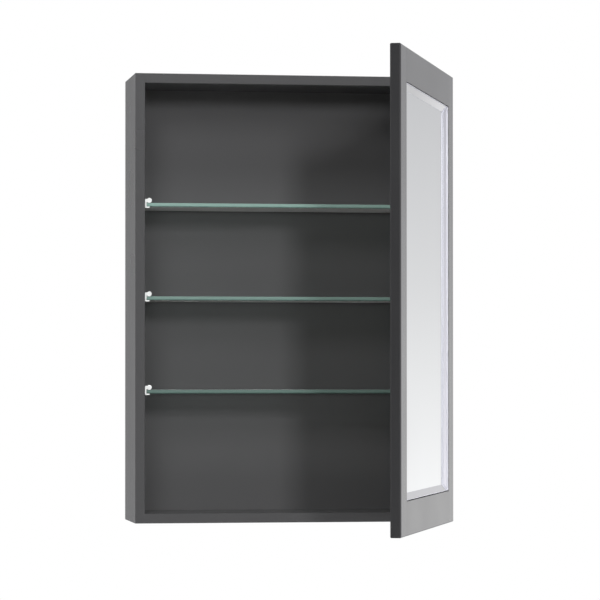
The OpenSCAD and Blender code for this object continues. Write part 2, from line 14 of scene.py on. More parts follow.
import bmesh
import bpy
import numpy as np
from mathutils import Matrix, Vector


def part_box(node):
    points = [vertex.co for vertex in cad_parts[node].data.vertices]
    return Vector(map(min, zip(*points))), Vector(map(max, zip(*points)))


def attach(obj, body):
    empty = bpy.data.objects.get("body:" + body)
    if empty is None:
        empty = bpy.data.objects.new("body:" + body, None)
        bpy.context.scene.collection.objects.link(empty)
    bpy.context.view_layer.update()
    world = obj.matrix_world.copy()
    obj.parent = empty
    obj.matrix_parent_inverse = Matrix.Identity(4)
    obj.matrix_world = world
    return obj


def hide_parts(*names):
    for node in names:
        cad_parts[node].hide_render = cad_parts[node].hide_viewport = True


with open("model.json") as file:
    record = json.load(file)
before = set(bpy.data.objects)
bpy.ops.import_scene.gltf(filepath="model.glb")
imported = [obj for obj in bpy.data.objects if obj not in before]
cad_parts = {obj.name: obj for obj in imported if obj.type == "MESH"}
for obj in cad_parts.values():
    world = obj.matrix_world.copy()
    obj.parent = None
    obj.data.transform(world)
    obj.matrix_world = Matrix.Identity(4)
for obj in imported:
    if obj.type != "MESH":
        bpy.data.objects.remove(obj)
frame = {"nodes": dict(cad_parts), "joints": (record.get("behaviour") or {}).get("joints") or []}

Node, Socket, Tree = bpy.types.Node, bpy.types.NodeSocket, bpy.types.NodeTree
Adder = Callable[..., Node]
Vec3 = tuple[float, float, float]
Stops = tuple[tuple[float, str], ...]

LOG = logging.getLogger("mirror_cabinet")
MM = 0.001
PHOTO_SIDE_PX = 600
EDGE_UV = "edge"
WELD = 0.002 * MM
STRAIGHT = math.radians(89.5)
TINY = 1e-9
# Most of a noise pattern's values lie between these
NOISE_LOW, NOISE_HIGH = 0.3, 0.7


# Colours and nodes

def linear(hex_colour: str, share: float = 1.0) -> tuple[float, float, float, float]:
    """Turns an sRGB hex colour into the linear colour that a shader takes.

    Args:
        hex_colour: the colour, such as "#525355".
        share: what its three parts are multiplied by.

    Returns:
        Red, green, blue and an alpha of 1.
    """
    parts = [int(hex_colour[i:i + 2], 16) / 255 for i in (1, 3, 5)]
    red, green, blue = (c / 12.92 if c <= 0.04045 else ((c + 0.055) / 1.055) ** 2.4 for c in parts)
    return red * share, green * share, blue * share, 1.0


def add_node(tree: Tree, kind: str, inputs: dict | None = None, stops: Stops = (),
             **settings: object) -> Node:
    """Adds one shader node with its settings, values and links.

    Args:
        tree: the node tree that it goes into.
        kind: the node's type name after "ShaderNode".
        inputs: a socket's name or number, with its value, hex colour, or linked node or output.
        stops: a colour ramp's places and hex colours.
        **settings: properties of the node.

    Returns:
        The new node.
    """
    node = tree.nodes.new("ShaderNode" + kind)
    for name, value in settings.items():
        setattr(node, name, value)
    for index, (place, colour) in enumerate(stops):
        elements = node.color_ramp.elements
        element = elements[index] if index < 2 else elements.new(place)
        element.position = place
        element.color = linear(colour)
    for name, value in (inputs or {}).items():
        if isinstance(value, Node):
            value = next(output for output in value.outputs if output.enabled)
        if isinstance(value, Socket):
            tree.links.new(value, node.inputs[name])
        else:
            node.inputs[name].default_value = linear(value) if isinstance(value, str) else value
    return node


class Finish:
    """A finish that is made once as a material and then shared by every piece that has it."""

    name: str
    made: dict[str, bpy.types.Material] = {}

    def material(self) -> bpy.types.Material:
        """Returns the finish's material, made at its first use."""
        if self.name not in Finish.made:
            material = bpy.data.materials.new(self.name)
            material.use_nodes = True
            tree = material.node_tree
            tree.nodes.clear()
            add = partial(add_node, tree)
            add("OutputMaterial", {"Surface": self.surface(add)})
            Finish.made[self.name] = material
        return Finish.made[self.name]

    def surface(self, add: Adder) -> Node:
        """Adds the finish's nodes.

        Args:
            add: adds a node to the material.

        Returns:
            The node that gives the surface.
        """
        raise NotImplementedError


@dataclass(frozen=True)
class SprayedLacquer(Finish):
    """Satin polyurethane lacquer on fibreboard: orange peel, and faint clouds where coats overlap."""

    name: str = "satin_lacquer_sprayed"
    colour: str = "#484849"
    roughness: float = 0.24
    smoother: float = 0.025
    rougher: float = 0.035
    ior: float = 1.5
    peel_mm: float = 2.2
    peel_height_mm: float = 0.008
    peel_share: float = 0.6
    cloud_mm: float = 160.0
    cloud_share: float = 0.05

    def surface(self, add: Adder) -> Node:
        """Adds the lacquer, its clouds and its peel.

        Args:
            add: adds a node to the material.

        Returns:
            The node that gives the surface.
        """
        place = add("TexCoord").outputs["Object"]
        cloud = add("TexNoise", {"Vector": place, "Scale": 1 / (self.cloud_mm * MM), "Detail": 3.0})
        # The peel is finer on the real thing; it is drawn as coarse as a close view can still show
        peel = add("TexNoise", {"Vector": place, "Scale": 1 / (self.peel_mm * MM), "Detail": 2.0})
        dark, pale = (linear(self.colour, 1 + sign * self.cloud_share) for sign in (-1, 1))
        tone = add("Mix", {0: cloud, 6: dark, 7: pale}, data_type="RGBA")
        gloss = add("MapRange", {
            "Value": cloud, "From Min": NOISE_LOW, "From Max": NOISE_HIGH,
            "To Min": self.roughness - self.smoother, "To Max": self.roughness + self.rougher})
        bump = add("Bump", {
            "Height": peel, "Strength": self.peel_share, "Distance": self.peel_height_mm * MM})
        return add("BsdfPrincipled", {
            "Base Color": tone, "Roughness": gloss, "Normal": bump, "IOR": self.ior})


@dataclass(frozen=True)
class PlanedWood(Finish):
    """Planed beech or pine, left raw: long streaks along the grain and a matt, slightly fibrous face."""

    name: str = "planed_wood"
    pale: str = "#B79A70"
    dark: str = "#94754B"
    streak_mm: float = 3.0
    along_x: Vec3 = (0.05, 1.0, 1.0)
    waver: float = 0.4
    fibre_mm: float = 0.08
    fibre_share: float = 0.5
    roughness: float = 0.72

    def surface(self, add: Adder) -> Node:
        """Adds the wood and its streaks.

        Args:
            add: adds a node to the material.

        Returns:
            The node that gives the surface.
        """
        place = add("TexCoord").outputs["Object"]
        stretched = add("Mapping", {"Vector": place, "Scale": self.along_x})
        streaks = add("TexNoise", {
            "Vector": stretched, "Scale": 1 / (self.streak_mm * MM), "Detail": 6.0,
            "Distortion": self.waver})
        ramp = add("ValToRGB", {"Fac": streaks}, ((0.35, self.dark), (0.65, self.pale)))
        bump = add("Bump", {
            "Height": streaks, "Strength": self.fibre_share, "Distance": self.fibre_mm * MM})
        return add("BsdfPrincipled", {
            "Base Color": ramp, "Roughness": self.roughness, "Normal": bump})


@dataclass(frozen=True)
class PlatedMetal(Finish):
    """Pressed steel with a plated skin: a soft sheen with drawing marks, and a faint uneven tint."""

    name: str = "nickel_plated_steel"
    colour: str = "#C9C7C2"
    tint: str = "#B4B5B8"
    tints_per_m: float = 90.0
    roughness: float = 0.27
    smoother: float = 0.06
    rougher: float = 0.1
    mark_mm: float = 0.9
    mark_height_mm: float = 0.02
    mark_share: float = 0.4
    along_y: Vec3 = (1.0, 0.16, 1.0)

    def surface(self, add: Adder) -> Node:
        """Adds the metal, its tints and its drawing marks.

        Args:
            add: adds a node to the material.

        Returns:
            The node that gives the surface.
        """
        place = add("TexCoord").outputs["Object"]
        stretched = add("Mapping", {"Vector": place, "Scale": self.along_y})
        marks = add("TexNoise", {
            "Vector": stretched, "Scale": 1 / (self.mark_mm * MM), "Detail": 4.0})
        cloud = add("TexNoise", {"Vector": place, "Scale": self.tints_per_m, "Detail": 2.0})
        tone = add("Mix", {0: cloud, 6: self.tint, 7: self.colour}, data_type="RGBA")
        gloss = add("MapRange", {
            "Value": marks, "From Min": NOISE_LOW, "From Max": NOISE_HIGH,
            "To Min": self.roughness - self.smoother, "To Max": self.roughness + self.rougher})
        bump = add("Bump", {
            "Height": marks, "Strength": self.mark_share, "Distance": self.mark_height_mm * MM})
        return add("BsdfPrincipled", {
            "Base Color": tone, "Metallic": 1.0, "Roughness": gloss, "Normal": bump})


@dataclass(frozen=True)
class Moulding(Finish):
    """Injection-moulded clear plastic: glossy, milky where it is thick, with faint flow lines."""

    name: str = "clear_moulded_polycarbonate"
    colour: str = "#F1F3F2"
    dim_share: float = 0.93
    clearness: float = 0.12
    roughness: float = 0.16
    ior: float = 1.585
    flow_mm: float = 1.5
    flow_height_mm: float = 0.03
    flow_share: float = 0.3
    waver: float = 0.6

    def surface(self, add: Adder) -> Node:
        """Adds the plastic and its flow lines.

        Args:
            add: adds a node to the material.

        Returns:
            The node that gives the surface.
        """
        place = add("TexCoord").outputs["Object"]
        flow = add("TexNoise", {
            "Vector": place, "Scale": 1 / (self.flow_mm * MM), "Detail": 2.0, "Distortion": self.waver})
        dim = linear(self.colour, self.dim_share)
        tone = add("Mix", {0: flow, 6: dim, 7: self.colour}, data_type="RGBA")
        bump = add("Bump", {
            "Height": flow, "Strength": self.flow_share, "Distance": self.flow_height_mm * MM})
        return add("BsdfPrincipled", {
            "Base Color": tone, "Roughness": self.roughness, "IOR": self.ior,
            "Transmission Weight": self.clearness, "Normal": bump})


@dataclass(frozen=True)
class FloatGlass(Finish):
    """Clear float glass: faces as smooth as the tin it was cast on, a faint green tint, a hazy film."""

    name: str = "float_glass"
    colour: str = "#F2FAF6"
    ior: float = 1.5
    clearness: float = 1.0
    haze: float = 0.5
    haze_roughness: float = 0.4
    films_per_m: float = 14.0
    film_low: float = 0.45
    film_high: float = 0.75
    rougher: float = 0.02
    shadows: Stops = ((0.0, "#D0D4D2"), (0.17, "#B4B8B6"), (0.3, "#8C908E"),
                      (0.42, "#7A7D7C"), (0.6, "#5C5F5E"), (1.0, "#303131"))

    def surface(self, add: Adder) -> Node:
        """Adds the glass. Rays from the lamps pass through it dimmed, as they do through a shelf.

        Args:
            add: adds a node to the material.

        Returns:
            The node that gives the surface.
        """
        place = add("TexCoord").outputs["Object"]
        film = add("TexNoise", {"Vector": place, "Scale": self.films_per_m, "Detail": 3.0})
        gloss = add("MapRange", {
            "Value": film, "From Min": self.film_low, "From Max": self.film_high,
            "To Min": 0.0, "To Max": self.rougher})
        glass = add("BsdfPrincipled", {
            "Base Color": self.colour, "Roughness": gloss, "IOR": self.ior, "Sheen Weight": self.haze,
            "Sheen Roughness": self.haze_roughness, "Transmission Weight": self.clearness})
        # A lamp's ray that meets the pane flatly is mostly thrown back, so it casts a darker shadow
        thrown = add("Fresnel", {"IOR": self.ior})
        inside = add("NewGeometry").outputs["Backfacing"]
        entering = add("Math", {0: thrown, 1: inside}, operation="SUBTRACT", use_clamp=True)
        dimmed = add("ValToRGB", {"Fac": entering}, self.shadows)
        passed = add("BsdfTransparent", {"Color": dimmed})
        path = add("LightPath").outputs
        return add("MixShader", {0: path["Is Shadow Ray"], 1: glass, 2: passed})


@dataclass(frozen=True)
class PolishedEdge(Finish):
    """Ground and polished edge of float glass: it gathers the whole pane's light and shows it green."""

    name: str = "float_glass_polished_edge"
    pale: str = "#87A39B"
    deep: str = "#3F5F58"
    roughness: float = 0.16
    ior: float = 1.5
    clearness: float = 0.15
    ripples_per_m: float = 60.0
    ripple_share: float = 0.12
    low_z: float = 0.2
    high_z: float = 0.5
    painted_low_shade_share: float = 0.5

    def surface(self, add: Adder) -> Node:
        """Adds the edge. The UV map's v runs up the edge, and u along it in metres.

        Args:
            add: adds a node to the material.

        Returns:
            The node that gives the surface.
        """
        place = add("TexCoord").outputs["Object"]
        u_and_v = add("SeparateXYZ", {0: add("UVMap", uv_map=EDGE_UV)}).outputs
        ripple = add("TexNoise", {
            "W": u_and_v[0], "Scale": self.ripples_per_m, "Detail": 3.0}, noise_dimensions="1D")
        shifted = add("Math", {
            0: ripple, 1: self.ripple_share, 2: u_and_v[1]}, operation="MULTIPLY_ADD")
        # Painted highlight and shade: the colour is deep at the bottom of the edge and pale over its
        # upper part, as light from above would fall on it
        ramp = add("ValToRGB", {"Fac": shifted}, (
            (0.12, self.deep), (0.42, self.pale), (1.0, self.pale)))
        # Painted shade: a pane low in the cabinet is drawn darker, standing in for the less light that
        # reaches it
        z = add("SeparateXYZ", {0: place}).outputs[2]
        level = add("MapRange", {
            "Value": z, "From Min": self.low_z, "From Max": self.high_z,
            "To Min": self.painted_low_shade_share, "To Max": 1.0})
        shade = add("VectorMath", {0: ramp, "Scale": level}, operation="SCALE")
        return add("BsdfPrincipled", {
            "Base Color": shade, "Roughness": self.roughness, "IOR": self.ior,
            "Transmission Weight": self.clearness})


@dataclass(frozen=True)
class SilveredGlass(Finish):
    """Silvered float glass seen from the front: a hard clear reflection with a faint cool cast."""

    name: str = "silvered_mirror"
    colour: str = "#F3F5F6"
    dim_share: float = 0.985
    films_per_m: float = 9.0
    roughness: float = 0.006
    metal: float = 1.0

    def surface(self, add: Adder) -> Node:
        """Adds the silvering and a thin film on it.

        Args:
            add: adds a node to the material.

        Returns:
            The node that gives the surface.
        """
        place = add("TexCoord").outputs["Object"]
        film = add("TexNoise", {"Vector": place, "Scale": self.films_per_m, "Detail": 2.0})
        dim = linear(self.colour, self.dim_share)
        tone = add("Mix", {0: film, 6: dim, 7: self.colour}, data_type="RGBA")
        return add("BsdfPrincipled", {
            "Base Color": tone, "Metallic": self.metal, "Roughness": self.roughness})


CARCASS_LACQUER = SprayedLacquer()
BACK_LACQUER = SprayedLacquer(
    name="back_panel_lacquer_rolled", colour="#555556", roughness=0.4, peel_mm=3.0, cloud_mm=220.0)
# Painted shade: the door's stiles, rails and beads have the carcass's lacquer drawn darker, standing in
# for the shade that the door's edges are in
DOOR_LACQUER_PAINTED_SHADE = SprayedLacquer(name="door_lacquer_sprayed", colour="#303031", roughness=0.15, ior=1.7)
RAIL_LACQUER_PAINTED_SHADE = SprayedLacquer(
    name="door_rail_lacquer_sprayed", colour="#303031", roughness=0.16, ior=1.62)
RAIL_WOOD = PlanedWood(name="pine_planed")
BOARD = PlanedWood(name="hardboard_pressed", pale="#8C7353", dark="#7A6244", streak_mm=0.8)
DOWEL_WOOD = PlanedWood(name="beech_turned", pale="#C2A27A", dark="#A78357", streak_mm=1.2)
NICKEL = PlatedMetal()
ZINC = PlatedMetal(
    name="zinc_plated_steel", colour="#C6CBD1", tint="#AEB4BC", roughness=0.34, mark_mm=0.6)
CLEAR_PLASTIC = Moulding()
SOFT_PLASTIC = Moulding(
    name="soft_clear_polyurethane", colour="#E6E9E8", clearness=0.55, roughness=0.32, ior=1.49)
SHELF_GLASS = FloatGlass()
SHELF_UNDERSIDE = FloatGlass(name="float_glass_underside", haze=1.0, clearness=0.88)
SHELF_EDGE = PolishedEdge()
SILVERED = SilveredGlass()
BEVEL = SilveredGlass(name="silvered_mirror_bevel", colour="#F0F0F3", roughness=0.02)
# The mirror's ground edge has the same painted highlight and painted shade as the shelves' edges
MIRROR_EDGE = PolishedEdge(name="mirror_ground_edge", pale="#7FA094", deep="#5C7B71", roughness=0.4)
MIRROR_PAINT = SprayedLacquer(name="mirror_back_paint", colour="#6A6D70", roughness=0.55)
STRIP_EDGE = SilveredGlass(name="bevel_strip_ground_edge", colour="#E8E8F0", roughness=0.5, metal=0.0)
# Dark paint on the strips' flanges and the rims' outer walls, which also serves as painted shade in the
# gap beside the rim
STRIP_PAINT_AND_SHADE = SprayedLacquer(name="bevel_strip_flange_paint", colour="#2B2C2E", roughness=0.6)


# Meshes

@dataclass
class Shell:
    """A surface as plain arrays, before it becomes a mesh."""

    points: np.ndarray
    faces: list[tuple[int, ...]]
    slots: np.ndarray
    uv: np.ndarray | None = None

    def moved(self, shift: Vec3) -> "Shell":
        """Returns a copy that is shifted."""
        return Shell(self.points + np.array(shift), self.faces, self.slots, self.uv)

    def turned(self, matrix: np.ndarray) -> "Shell":
        """Returns a copy whose points are multiplied by a 3 by 3 matrix."""
        return Shell(self.points @ matrix.T, self.faces, self.slots, self.uv)


def joined(shells: list[Shell]) -> Shell:
    """Puts several shells into one, each still closed by itself.

    Args:
        shells: the shells, all with a UV array or all without.

    Returns:
        One shell with all points and faces.
    """
    starts = np.cumsum([0] + [len(s.points) for s in shells])
    faces = [tuple(i + start for i in f) for s, start in zip(shells, starts) for f in s.faces]
    uv = None if shells[0].uv is None else np.concatenate([s.uv for s in shells])
    points, slots = (np.concatenate([getattr(s, part) for s in shells]) for part in ("points", "slots"))
    return Shell(points, faces, slots, uv)


def loft(rings: np.ndarray, side_slot: int | np.ndarray = 0, cap_slot: int = 0,
         capped: bool = True) -> Shell:
    """Joins rings of points into a closed skin: each ring's points meet the next ring's by quads.

    Args:
        rings: points as rings by points by 3.
        side_slot: material slot of the skin, or one for each stretch round the ring.
        cap_slot: material slot of the two ends.
        capped: whether the ends are closed by flat faces.

    Returns:
        The shell.
    """
    n_rings, n_round = rings.shape[:2]
    row = np.arange(n_rings - 1)[:, None] * n_round
    col = np.arange(n_round)[None, :]
    after = (col + 1) % n_round
    quads = np.stack([row + col, row + after, row + n_round + after, row + n_round + col], axis=-1)
    slots = np.broadcast_to(np.asarray(side_slot), (n_rings - 1, n_round)).ravel()
    faces = [tuple(q) for q in quads.reshape(-1, 4).tolist()]
    if capped:
        last = (n_rings - 1) * n_round
        faces += [tuple(range(n_round - 1, -1, -1)), tuple(range(last, last + n_round))]
        slots = np.concatenate([slots, [cap_slot, cap_slot]])
    return Shell(rings.reshape(-1, 3).astype(float), faces, slots.astype(int))


def rounded_outline(corners: np.ndarray, radii: np.ndarray, steps: int = 5) -> np.ndarray:
    """Rounds a polygon's corners. An arc touches both sides; its points are centre + radius * direction.

    Args:
        corners: the polygon's corners, in order.
        radii: a radius for each corner; 0 leaves it sharp.
        steps: steps along each arc.

    Returns:
        The outline's points, as many for each corner whatever its radius.
    """
    before = np.roll(corners, 1, axis=0) - corners
    after = np.roll(corners, -1, axis=0) - corners
    a = before / np.linalg.norm(before, axis=1, keepdims=True)
    b = after / np.linalg.norm(after, axis=1, keepdims=True)
    half = np.arccos(np.clip(np.sum(a * b, axis=1), -1.0, 1.0)) / 2
    straight = half > STRAIGHT
    reach = np.where(straight, 0.0, radii / np.tan(np.where(straight, 1.0, half)))
    middle = a + b
    length = np.linalg.norm(middle, axis=1, keepdims=True)
    middle = np.where(length > TINY, middle / np.maximum(length, TINY), 0.0)
    centre = corners + middle * np.where(straight, 0.0, radii / np.sin(half))[:, None]
    start, end = corners + a * reach[:, None] - centre, corners + b * reach[:, None] - centre
    t = np.linspace(0.0, 1.0, steps + 1)[None, :, None]
    blend = start[:, None, :] * (1 - t) + end[:, None, :] * t
    size = np.linalg.norm(blend, axis=2, keepdims=True)
    radius = np.where(straight, 0.0, radii)[:, None, None]
    arc = np.where(size > TINY, blend / np.maximum(size, TINY), 0.0) * radius
    return (centre[:, None, :] + arc).reshape(-1, 2)


def end_insets(length: float, radius: float, steps: int = 5) -> tuple[np.ndarray, np.ndarray]:
    """Places rings along a bar with rounded ends.

    At a distance t from an end the faces step in by r - sqrt(r^2 - (r - t)^2).

    Args:
        length: the bar's length.
        radius: the rounding of both ends.
        steps: rings in each rounding.

    Returns:
        The places along the bar, and the inset at each.
    """
    angle = np.linspace(0.0, math.pi / 2, steps + 1)
    near = radius * (1 - np.cos(angle))
    inset = radius * (1 - np.sin(angle))
    return np.concatenate([near, length - near[::-1]]), np.concatenate([inset, inset[::-1]])


def revolved(radius: np.ndarray, height: np.ndarray, around: int = 32) -> np.ndarray:
    """Turns a profile about Z: each ring is radius * (cos a, sin a) at its height.

    Args:
        radius: the profile's distance from the axis.
        height: the profile's height.
        around: points round each ring.

    Returns:
        Rings by points by 3.
    """
    angle = np.linspace(0.0, 2 * math.pi, around, endpoint=False)
    flat = radius[:, None, None] * np.stack([np.cos(angle), np.sin(angle)], axis=-1)[None]
    return np.concatenate([flat, np.broadcast_to(height[:, None, None], flat.shape[:2] + (1,))], axis=-1)


def smooth_step(x: np.ndarray) -> np.ndarray:
    """Rises from 0 to 1 without corners as x goes from 0 to 1."""
    t = np.clip(x, 0.0, 1.0)
    return t * t * (3 - 2 * t)


def make_piece(name: str, shell: Shell, finishes: list[Finish], body: str,
               stands_for: tuple[str, ...] = (), smooth_deg: float = 35.0) -> bpy.types.Object:
    """Makes a shell into a piece of the object.

    Args:
        name: the piece's name.
        shell: its surface, in the object's frame.
        finishes: a finish for each of the shell's material slots.
        body: the body that it rides on.
        stands_for: the nodes that it replaces.
        smooth_deg: edges that turn less than this are shaded smooth.

    Returns:
        The new object.
    """
    mesh = bpy.data.meshes.new(name)
    mesh.from_pydata(shell.points.tolist(), [], shell.faces)
    mesh.polygons.foreach_set("material_index", shell.slots.astype(np.int32))
    if shell.uv is not None:
        corner = np.zeros(len(mesh.loops), np.int32)
        mesh.loops.foreach_get("vertex_index", corner)
        layer = mesh.uv_layers.new(name=EDGE_UV)
        layer.data.foreach_set("uv", shell.uv[corner].astype(np.float32).ravel())
    work = bmesh.new()
    work.from_mesh(mesh)
    bmesh.ops.remove_doubles(work, verts=work.verts, dist=WELD)
    bmesh.ops.dissolve_degenerate(work, edges=work.edges, dist=WELD)
    bmesh.ops.recalc_face_normals(work, faces=work.faces)
    work.to_mesh(mesh)
    work.free()
    mesh.shade_smooth()
    mesh.set_sharp_from_angle(angle=math.radians(smooth_deg))
    for finish in finishes:
        mesh.materials.append(finish.material())
    piece = bpy.data.objects.new(name, mesh)
    bpy.context.scene.collection.objects.link(piece)
    # Flat faces keep their own normal, and the roundings beside them take up the whole turn
    evened = piece.modifiers.new("face_weighted_normals", "WEIGHTED_NORMAL")
    evened.keep_sharp = True
    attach(piece, body)
    if stands_for:
        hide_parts(*stands_for)
    LOG.info("%s: %d faces on %s", name, len(mesh.polygons), body)
    return piece


def dress(nodes: list[str], finish: Finish) -> None:
    """Gives carried-over nodes a finish, in every material slot that their meshes have.

    Args:
        nodes: the nodes' names.
        finish: what they are finished in.
    """
    for node in nodes:
        obj = frame["nodes"][node]
        if not obj.material_slots:
            obj.data.materials.append(finish.material())
        for slot in obj.material_slots:
            slot.material = finish.material()
        LOG.info("%s: dressed in %s", node, finish.name)


# Fasteners

@dataclass(frozen=True)
class Screw:
    """A pan-head screw with a cross recess. It points down -Z, with the underside of its head at 0."""

    head_r: float = 3.4 * MM
    head_t: float = 1.6 * MM
    shank_r: float = 1.75 * MM
    length: float = 12 * MM
    pitch: float = 1.25 * MM
    # Shares of the shank's radius, of the pitch, and of the head's height and radius
    tip_length: float = 1.6
    tip_width: float = 0.8
    thread_depth: float = 0.2
    thread_end: float = 0.4
    rim_height: float = 0.35
    rim_width: float = 0.98
    dome_draw: float = 0.16
    dome_height: float = 0.75
    cross_half: float = 0.16
    cross_reach: float = 0.66
    cross_depth: float = 0.75

    def shell(self) -> Shell:
        """Turns the profile about Z, and presses the cross into the dome as two tapered slots.

        The shank's radius is r - d * (1 - |sin(pi z / pitch)|).

        Returns:
            One screw.
        """
        tip = np.linspace(0.0, 1.0, 5)
        start = -self.length + self.shank_r * self.tip_length
        turns = np.arange(start, -self.pitch * self.thread_end, self.pitch / 4)
        wave = np.abs(np.sin(math.pi * turns / self.pitch))
        thread = self.shank_r * (1 - self.thread_depth * (1 - wave))
        arc = np.linspace(0.0, math.pi / 2, 7)
        rim = self.rim_height * self.head_t
        dome_r = self.head_r * (1 - self.dome_draw * (1 - np.cos(arc)))
        dome_z = rim + (self.head_t - rim) * self.dome_height * np.sin(arc)
        top_r = np.linspace(dome_r[-1], 0.0, 14)[1:]
        top_z = self.head_t - (self.head_t - dome_z[-1]) * (top_r / dome_r[-1]) ** 2
        under = [self.shank_r, self.head_r * self.rim_width]
        radius = np.concatenate([tip * self.shank_r * self.tip_width, thread, under, dome_r, top_r])
        tip_z = -self.length + tip * self.shank_r * self.tip_length
        height = np.concatenate([tip_z, turns, [0.0, 0.0], dome_z, top_z])
        rings = revolved(radius, height, around=48)
        first = len(radius) - len(top_r) - 1
        x, y = np.abs(rings[first:, :, 0]), np.abs(rings[first:, :, 1])
        narrow, wide = np.minimum(x, y), np.maximum(x, y)
        half, reach = self.cross_half * self.head_r, self.cross_reach * self.head_r
        across = smooth_step((half - narrow) / (0.5 * half) + 0.5)
        slot = across * smooth_step((reach - wide) / (0.5 * reach))
        rings[first:, :, 2] -= self.cross_depth * self.head_t * slot
        return loft(rings, capped=False)

    def set_at(self, points: list[Vec3], outward: Vec3) -> Shell:
        """Places copies of the screw.

        Args:
            points: where the underside of each head lies.
            outward: the direction in which the heads look.

        Returns:
            All the screws as one shell.
        """
        z = np.array(outward, float)
        x = np.cross([0.0, 0.0, 1.0] if abs(z[2]) < 0.9 else [1.0, 0.0, 0.0], z)
        basis = np.stack([x, np.cross(z, x), z], axis=1)
        one = self.shell().turned(basis)
        return joined([one.moved(p) for p in points])


# The door's own frame

@dataclass(frozen=True)
class DoorSwing:
    """Where the door turns, and the angle at which it stands."""

    pin_x: float
    pin_y: float
    open_deg: float = 69.0

    def stand(self, shell: Shell) -> Shell:
        """Turns a piece of the closed door to the angle at which it stands: p -> pin + R (p - pin).

        Args:
            shell: the piece, drawn on the closed door.

        Returns:
            The same piece on the open door.
        """
        a = math.radians(self.open_deg)
        c, s = math.cos(a), math.sin(a)
        turn = np.array([[c, -s, 0.0], [s, c, 0.0], [0.0, 0.0, 1.0]])
        pin = (self.pin_x, self.pin_y, 0.0)
        return shell.moved((-self.pin_x, -self.pin_y, 0.0)).turned(turn).moved(pin)


def swing_of_frame() -> DoorSwing:
    """Reads the door's axis from the frame's joint."""
    joint = next(j for j in frame["joints"] if j["child"] == "door")
    return DoorSwing(pin_x=joint["pos_m"][0], pin_y=joint["pos_m"][1])


# Sub-assemblies

@dataclass
class Carcass:
    """The fixed box: boards, dowels, back panel and what hangs it on the wall."""

    hang_x: float = 180 * MM
    hang_screw_gap: float = 32 * MM

    def dress(self) -> None:
        """Gives the boards, dowels, rail and plates their finishes."""
        dress(["left_side", "right_side", "top_panel", "bottom_panel"], CARCASS_LACQUER)
        dress(["back_panel"], BACK_LACQUER)
        dress(["carcass_dowels"], DOWEL_WOOD)
        dress(["hanging_rail"], RAIL_WOOD)
        dress(["hanging_plates"], NICKEL)

    def screws(self) -> None:
        """Makes the screws that hold the hanging plates on their rail."""
        low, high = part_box("hanging_plates")
        box_low, box_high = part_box("hanging_screws")
        middle = (low.z + high.z) / 2
        screw = Screw(head_t=box_high.y - high.y, length=high.y - box_low.y)
        points = [(side * self.hang_x, high.y, middle + end * self.hang_screw_gap / 2)
                  for side in (-1, 1) for end in (-1, 1)]
        make_piece("hanging_plate_screws", screw.set_at(points, (0.0, 1.0, 0.0)), [ZINC], "carcass",
                   ("hanging_screws",))

    def build(self) -> None:
        """Builds the sub-assembly."""
        self.dress()
        self.screws()


@dataclass
class GlassShelf:
    """One shelf: float glass whose long edges are ground, polished and slightly broken."""

    node: str
    arris: float = 0.6 * MM
    end_arris: float = 0.5 * MM

    def build(self) -> None:
        """Carries a rectangle with broken corners along X. Each end steps in by its arris."""
        low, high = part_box(self.node)
        depth, thick = high.y - low.y, high.z - low.z
        corners = np.array([[0, 0], [depth, 0], [depth, thick], [0, thick]], float)
        outline = rounded_outline(corners, np.full(4, self.arris), steps=3)
        along, inset = end_insets(high.x - low.x, self.end_arris, steps=3)
        centre = np.array([depth / 2, thick / 2])
        spread = outline - centre
        rings = np.zeros((len(along), len(outline), 3))
        rings[:, :, 0] = low.x + along[:, None]
        shrink = 1 - inset[:, None, None] / np.array([depth / 2, thick / 2])
        rings[:, :, 1:] = np.array([low.y, low.z]) + centre + spread[None] * shrink
        # Slot 1 is the long edges and the ends, slot 2 the underside, and slot 0 the rest
        y0 = outline[:, 0]
        y1 = np.roll(y0, -1)
        band = self.arris * 1.01
        on_edge = (np.maximum(y0, y1) < band) | (np.minimum(y0, y1) > depth - band)
        under = ~on_edge & (np.maximum(outline[:, 1], np.roll(outline[:, 1], -1)) < thick / 2)
        shell = loft(rings, side_slot=np.where(under, 2, on_edge.astype(int))[None, :], cap_slot=1)
        shell.uv = np.stack([shell.points[:, 0] - low.x, (shell.points[:, 2] - low.z) / thick], axis=-1)
        make_piece(self.node + "_pane", shell, [SHELF_GLASS, SHELF_EDGE, SHELF_UNDERSIDE], "carcass",
                   (self.node,))


